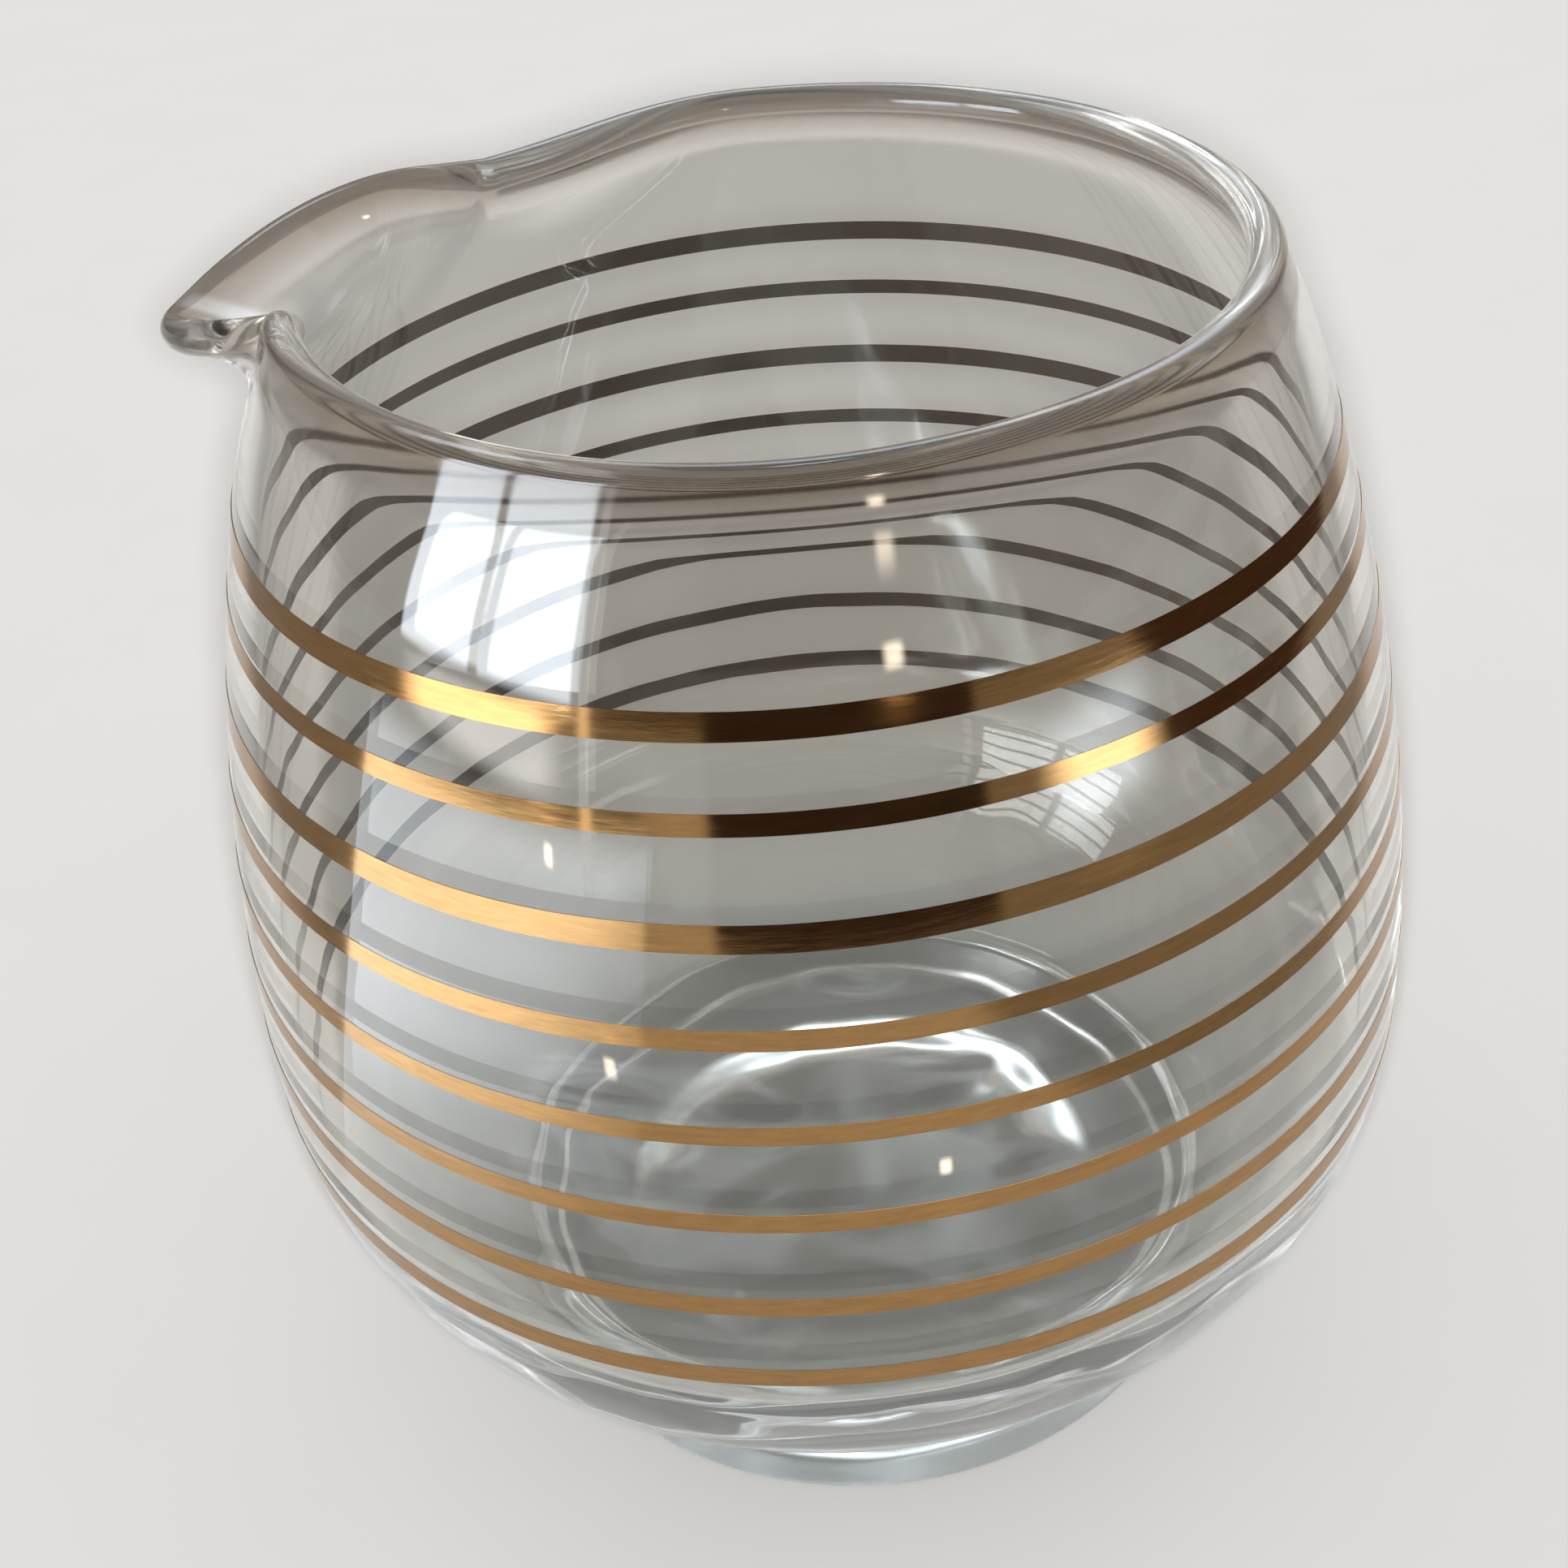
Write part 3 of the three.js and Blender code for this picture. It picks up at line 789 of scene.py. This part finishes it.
def blown_glass():
    """Soda-lime glass, blown and fire-polished: clear and glossy, with slow waves."""
    material = bpy.data.materials.new("soda_lime_glass_blown")
    material.use_nodes = True
    tree = material.node_tree
    tree.nodes.clear()
    place = add(tree, "ShaderNodeTexCoord").outputs["Object"]
    height = add(tree, "ShaderNodeSeparateXYZ", {0: place}).outputs["Z"]

    # A touch more green and blue in the thick base
    depth = add(tree, "ShaderNodeMapRange", {0: height, 1: 0.0, 2: TINTED_HEIGHT * MM})
    tint = add(
        tree,
        "ShaderNodeMix",
        {0: depth, 6: linear(THICK_GLASS), 7: linear(THIN_GLASS)},
        data_type="RGBA",
    )

    # Painted shade: the glass is coloured grey brown at the lip, partly the tint of light that has run a
    # long way inside the wall and partly standing in for the dim surroundings that the lip shows
    along = add(tree, "ShaderNodeAttribute", attribute_name="height").outputs["Fac"]
    lip = add(
        tree,
        "ShaderNodeMapRange",
        {0: along, 1: (RIM_HEIGHT - LIP_DEPTH) * MM, 2: RIM_HEIGHT * MM},
    )
    edge = add(
        tree,
        "ShaderNodeMix",
        {0: lip, 6: tint.outputs[2], 7: linear(LIP_PAINTED_SHADE)},
        data_type="RGBA",
    )

    # Slow waves and finer ones from the blowing
    waves = add(
        tree,
        "ShaderNodeTexNoise",
        {"Vector": place, "Scale": 1 / (WAVE_WIDTH * MM), "Detail": 2.0, "Roughness": 0.35},
    )
    bump = add(
        tree,
        "ShaderNodeBump",
        {"Height": waves.outputs[0], "Strength": 0.35, "Distance": WAVE_DEPTH * MM},
    )

    # Faint smears left by wiping
    stretched = add(tree, "ShaderNodeMapping", {"Vector": place, "Scale": (1.0, 1.0, 0.35)})
    smear = add(
        tree,
        "ShaderNodeTexNoise",
        {"Vector": stretched, "Scale": 1 / (SMEAR_WIDTH * MM), "Detail": 4.0, "Roughness": 0.6},
    )
    smeared = add(
        tree,
        "ShaderNodeMapRange",
        {0: smear.outputs[0], 1: 0.55, 2: 0.8, 3: 0.0, 4: SMEAR_ROUGHNESS},
    )

    # The underside is a little matt from the tool that the foot was set on, the lip is dulled
    # by washing and the inside floor by stirring
    matt = add(
        tree,
        "ShaderNodeMapRange",
        {0: height, 1: 0.0, 2: UNDERSIDE_FADE * MM, 3: UNDERSIDE_ROUGHNESS, 4: 0.0},
    )
    washed = add(tree, "ShaderNodeMath", {0: lip, 1: LIP_ROUGHNESS}, operation="MULTIPLY")
    base = add(tree, "ShaderNodeAttribute", attribute_name="uneven").outputs["Fac"]
    stirred = add(tree, "ShaderNodeMath", {0: base, 1: INSIDE_FLOOR_ROUGHNESS}, operation="MULTIPLY")
    rough = smeared
    for dulled in (matt, washed, stirred):
        rough = add(tree, "ShaderNodeMath", {0: rough, 1: dulled}, operation="MAXIMUM")
    glass = add(
        tree,
        "ShaderNodeBsdfPrincipled",
        {
            "Base Color": edge.outputs[2],
            "Roughness": rough,
            "IOR": 1.5,
            "Transmission Weight": 1.0,
            "Normal": bump,
        },
    )

    # On its way to the floor light is only dimmed by the glass: least by the thick lower part,
    # which gathers it, and most by the foot
    above_foot, above_base = (
        add(tree, "ShaderNodeMapRange", {0: height, 1: low * MM, 2: high * MM})
        for low, high in (FOOT_TO_BASE, BASE_TO_WALL)
    )
    gathered = add(
        tree,
        "ShaderNodeMix",
        {0: above_foot, 6: FOOT_LETS_THROUGH, 7: BASE_LETS_THROUGH},
        data_type="RGBA",
    )
    passed = add(
        tree,
        "ShaderNodeMix",
        {0: above_base, 6: gathered.outputs[2], 7: WALL_LETS_THROUGH},
        data_type="RGBA",
    )
    through = add(tree, "ShaderNodeBsdfTransparent", {"Color": passed.outputs[2]})
    rays = add(tree, "ShaderNodeLightPath")
    lamp_rays = add(
        tree,
        "ShaderNodeMath",
        {0: rays.outputs["Is Shadow Ray"], 1: rays.outputs["Is Diffuse Ray"]},
        operation="MAXIMUM",
    )
    both = add(tree, "ShaderNodeMixShader", {0: lamp_rays, 1: glass, 2: through})
    add(tree, "ShaderNodeOutputMaterial", {"Surface": both})
    return material


def fired_gold():
    """Liquid bright gold, brushed on and fired: a thin mirror film with brush streaks."""
    material = bpy.data.materials.new("liquid_bright_gold_fired")
    material.use_nodes = True
    tree = material.node_tree
    tree.nodes.clear()
    place = add(tree, "ShaderNodeTexCoord").outputs["Object"]
    backing = add(tree, "ShaderNodeAttribute", attribute_name="backing").outputs["Fac"]

    # Brush streaks run round the jug, so the pattern is squeezed along the height
    squeezed = add(tree, "ShaderNodeMapping", {"Vector": place, "Scale": (1.0, 1.0, 8.0)})
    streaks = add(
        tree,
        "ShaderNodeTexNoise",
        {"Vector": squeezed, "Scale": 1 / (STREAK_WIDTH * MM), "Detail": 3.0, "Roughness": 0.6},
    )
    colour = add(
        tree,
        "ShaderNodeMix",
        {0: streaks.outputs[0], 6: linear(GOLD_DARK), 7: linear(GOLD_PALE)},
        data_type="RGBA",
    )
    seen = add(
        tree,
        "ShaderNodeMix",
        {0: backing, 6: colour.outputs[2], 7: linear(GOLD_BEHIND)},
        data_type="RGBA",
    )
    dull = add(
        tree,
        "ShaderNodeMapRange",
        {0: streaks.outputs[0], 3: GOLD_ROUGHNESS[0], 4: GOLD_ROUGHNESS[1]},
    )
    rough = add(tree, "ShaderNodeMapRange", {0: backing, 3: dull, 4: GOLD_BEHIND_ROUGHNESS})
    bump = add(
        tree,
        "ShaderNodeBump",
        {"Height": streaks.outputs[0], "Strength": 0.15, "Distance": STREAK_DEPTH * MM},
    )
    metal = add(
        tree,
        "ShaderNodeBsdfPrincipled",
        {"Base Color": seen, "Metallic": 1.0, "Roughness": rough, "Normal": bump},
    )
    add(tree, "ShaderNodeOutputMaterial", {"Surface": metal})
    return material


def glass_body(near_wall, glass):
    sizes = {
        "Steps": STEPS_ROUND,
        "Finer at spout": FINER_AT_SPOUT,
        "Foot aside": [
            FOOT_ASIDE * MM * math.cos(FOOT_ASIDE_ANGLE),
            FOOT_ASIDE * MM * math.sin(FOOT_ASIDE_ANGLE),
            0.0,
        ],
        "Uneven": UNEVEN * MM * 2,
        "Uneven width": UNEVEN_WIDTH * MM,
        "Seed": UNEVEN_SEED,
        **WALL_SIZES,
    }
    return made_by(jug_tree(near_wall, glass), section_object(), sizes, "jug_glass")


def gold_lines(near_wall, gold):
    tree = gold_line_tree(near_wall, gold)
    lines = []
    for number, (height, width, wear) in enumerate(GOLD_LINES, 1):
        start = bpy.data.objects.new("line_start", bpy.data.meshes.new("line_start"))
        bpy.context.scene.collection.objects.link(start)
        sizes = {
            "Steps": STEPS_ROUND,
            "Finer at spout": 0.0,
            "Height": height * MM,
            "Width": width * MM,
            "Film": GOLD_FILM * MM,
            "Lift": GOLD_LIFT * MM,
            "Wear": wear,
            "Seed": number * LINE_SEED,
            **WALL_SIZES,
        }
        lines.append(made_by(tree, start, sizes, f"gold_line_{number}"))
    return lines


def pale_floor():
    """Matt pale floor."""
    mesh = bpy.data.meshes.new("floor")
    reach = STUDIO_FLOOR_REACH * MM
    level = STUDIO_FLOOR_LEVEL * MM
    mesh.from_pydata(
        [(-reach, -reach, level), (reach, -reach, level), (reach, reach, level), (-reach, reach, level)],
        [],
        [(0, 1, 2, 3)],
    )
    floor = bpy.data.objects.new("floor", mesh)
    bpy.context.scene.collection.objects.link(floor)
    material = bpy.data.materials.new("matt_floor")
    material.use_nodes = True
    tree = material.node_tree
    shader = tree.nodes["Principled BSDF"]
    place = add(tree, "ShaderNodeTexCoord").outputs["Object"]
    grain = add(
        tree,
        "ShaderNodeTexNoise",
        {"Vector": place, "Scale": 1 / (STUDIO_FLOOR_GRAIN * MM), "Detail": 3.0},
    )
    dark, pale = (linear(colour) for colour in STUDIO_FLOOR_COLOURS)
    colour = add(tree, "ShaderNodeMix", {0: grain.outputs[0], 6: dark, 7: pale}, data_type="RGBA")
    tree.links.new(colour.outputs[2], shader.inputs["Base Color"])
    shader.inputs["Roughness"].default_value = 0.9
    shader.inputs["Specular IOR Level"].default_value = 0.1
    mesh.materials.append(material)


def stage_sheet(name, corners, colour, strength, soft, through):
    """A shining sheet that fades toward its edges and lights nothing by itself."""
    mesh = bpy.data.meshes.new(name)
    mesh.from_pydata(corners, [], [(0, 1, 2, 3)])
    piece = bpy.data.objects.new(name, mesh)
    bpy.context.scene.collection.objects.link(piece)
    material = bpy.data.materials.new(name)
    material.use_nodes = True
    tree = material.node_tree
    tree.nodes.clear()
    light = add(tree, "ShaderNodeEmission", {"Color": linear(colour), "Strength": strength})
    clear = add(tree, "ShaderNodeBsdfTransparent")
    across = add(tree, "ShaderNodeTexCoord").outputs["Generated"]
    spot = add(tree, "ShaderNodeSeparateXYZ", {0: across})
    fades = []
    for axis in ("X", "Z"):
        inset = add(tree, "ShaderNodeMath", {0: spot.outputs[axis], 1: 0.5}, operation="PINGPONG")
        fades.append(
            add(tree, "ShaderNodeMapRange", {0: inset, 2: soft}, interpolation_type="SMOOTHSTEP")
        )
    fade = add(tree, "ShaderNodeMath", {0: fades[0], 1: fades[1]}, operation="MULTIPLY")
    both = add(tree, "ShaderNodeMixShader", {0: fade, 1: clear, 2: light})
    add(tree, "ShaderNodeOutputMaterial", {"Surface": both})
    mesh.materials.append(material)
    piece.visible_camera = False
    piece.visible_diffuse = False
    piece.visible_shadow = False
    piece.visible_transmission = through


def round_point(azimuth, distance, height):
    """A point given by its direction from the jug, its distance and its height."""
    turn = math.radians(azimuth)
    return distance * MM * math.cos(turn), distance * MM * math.sin(turn), height * MM


def card(name, azimuths, heights, distance, colour, strength, soft, through):
    """An upright studio card with soft edges, that only reflections and glass show."""
    low, high = heights
    corners = [round_point(azimuth, distance, low) for azimuth in azimuths]
    corners += [round_point(azimuth, distance, high) for azimuth in reversed(azimuths)]
    stage_sheet(name, corners, colour, strength, soft, through)


def small_lamps():
    """Small warm sheets that show as sparks in the glass, as lamps in a room do."""
    for number, (place, width, height) in enumerate(SMALL_LAMPS, 1):
        centre = Vector(place) * MM
        across = Vector((-centre.y, centre.x, 0)).normalized() * width * MM / 2
        up = Vector((0, 0, height * MM / 2))
        corners = [
            centre - across - up,
            centre + across - up,
            centre + across + up,
            centre - across + up,
        ]
        name = f"small_lamp_{number}"
        stage_sheet(
            name, corners, SMALL_LAMP_COLOUR, SMALL_LAMP_STRENGTH, SMALL_LAMP_SOFT, through=False
        )


def studio():
    """Pale light from above, warmer and darker at the horizon, and the sheets in it."""
    world = bpy.data.worlds.new("studio")
    bpy.context.scene.world = world
    world.use_nodes = True
    tree = world.node_tree
    tree.nodes.clear()
    direction = add(tree, "ShaderNodeTexCoord").outputs["Generated"]
    height = add(tree, "ShaderNodeSeparateXYZ", {0: direction}).outputs["Z"]
    share = add(tree, "ShaderNodeMapRange", {0: height, 1: 0.0, 2: SKY_FROM})
    colour = add(
        tree,
        "ShaderNodeMix",
        {0: share, 6: linear(HORIZON_COLOUR), 7: linear(SKY_COLOUR)},
        data_type="RGBA",
    )
    light = add(tree, "ShaderNodeBackground", {"Color": colour, "Strength": 1.0})
    add(tree, "ShaderNodeOutputWorld", {"Surface": light})
    for row in CARDS:
        card(*row)
    corners = [round_point(*corner) for corner in SILL]
    stage_sheet("sill", corners, SILL_COLOUR, SILL_STRENGTH, SILL_SOFT, through=True)
    small_lamps()


def front_lamp():
    """A small lamp at the lens, which lights the floor evenly and shows in no reflection."""
    data = bpy.data.lights.new("front_lamp", "POINT")
    data.shadow_soft_size = FRONT_LAMP_SIZE * MM
    data.energy = FRONT_LAMP
    data.use_nodes = True
    tree = data.node_tree
    shine = tree.nodes["Emission"]
    direction = add(tree, "ShaderNodeTexCoord").outputs["Normal"]
    drop = add(tree, "ShaderNodeSeparateXYZ", {0: direction}).outputs["Z"]
    size = add(tree, "ShaderNodeMath", {0: drop}, operation="ABSOLUTE")
    kept = add(tree, "ShaderNodeMath", {0: size, 1: LAMP_EVEN_FROM}, operation="MAXIMUM")
    spread = add(tree, "ShaderNodeMath", {0: 1.0, 1: kept}, operation="DIVIDE")
    sideways = add(
        tree, "ShaderNodeVectorMath", {0: direction, 1: CAMERA_RIGHT}, operation="DOT_PRODUCT"
    )
    aside = add(tree, "ShaderNodeMath", {0: sideways.outputs["Value"]}, operation="ABSOLUTE")
    doors = add(
        tree,
        "ShaderNodeMapRange",
        {0: aside, 1: LAMP_DOORS[1], 2: LAMP_DOORS[0]},
        interpolation_type="SMOOTHSTEP",
    )
    top_door = add(
        tree,
        "ShaderNodeMapRange",
        {0: size, 1: LAMP_TOP_DOOR[0], 2: LAMP_TOP_DOOR[1]},
        interpolation_type="SMOOTHSTEP",
    )
    opening = add(tree, "ShaderNodeMath", {0: doors, 1: top_door}, operation="MULTIPLY")
    inside = add(tree, "ShaderNodeMath", {0: spread, 1: opening}, operation="MULTIPLY")
    even = add(tree, "ShaderNodeLightFalloff", {"Strength": inside})
    tree.links.new(even.outputs["Constant"], shine.inputs["Strength"])
    lamp = bpy.data.objects.new("front_lamp", data)
    lamp.location = CAMERA_PLACE
    lamp.visible_glossy = False
    lamp.visible_transmission = False
    lamp.visible_camera = False
    bpy.context.scene.collection.objects.link(lamp)


def camera():
    data = bpy.data.cameras.new("camera")
    data.sensor_width = SENSOR
    data.lens = LENS
    data.clip_start = 0.005
    forward = Vector(CAMERA_FORWARD).normalized()
    right = Vector(CAMERA_RIGHT).normalized()
    up = right.cross(forward)
    turn = Matrix((right, up, -forward)).transposed().to_4x4()
    piece = bpy.data.objects.new("camera", data)
    piece.matrix_world = Matrix.Translation(CAMERA_PLACE) @ turn
    bpy.context.scene.collection.objects.link(piece)
    bpy.context.scene.camera = piece


bpy.context.scene.view_settings.view_transform = "Standard"
# Light turns many times inside the thick base before it leaves
bpy.context.scene.cycles.max_bounces = 160
bpy.context.scene.cycles.glossy_bounces = 128
bpy.context.scene.cycles.transmission_bounces = 64
bpy.context.scene.cycles.transparent_max_bounces = 24
camera()
pale_floor()
studio()
front_lamp()

wall_tree = near_wall_tree(middle_tree(hill_tree()))
body = glass_body(wall_tree, blown_glass())
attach(body, "root")
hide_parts("glass_body")
for number, line in enumerate(gold_lines(wall_tree, fired_gold()), 1):
    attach(line, "root")
    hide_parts(f"gold_band_{number}")
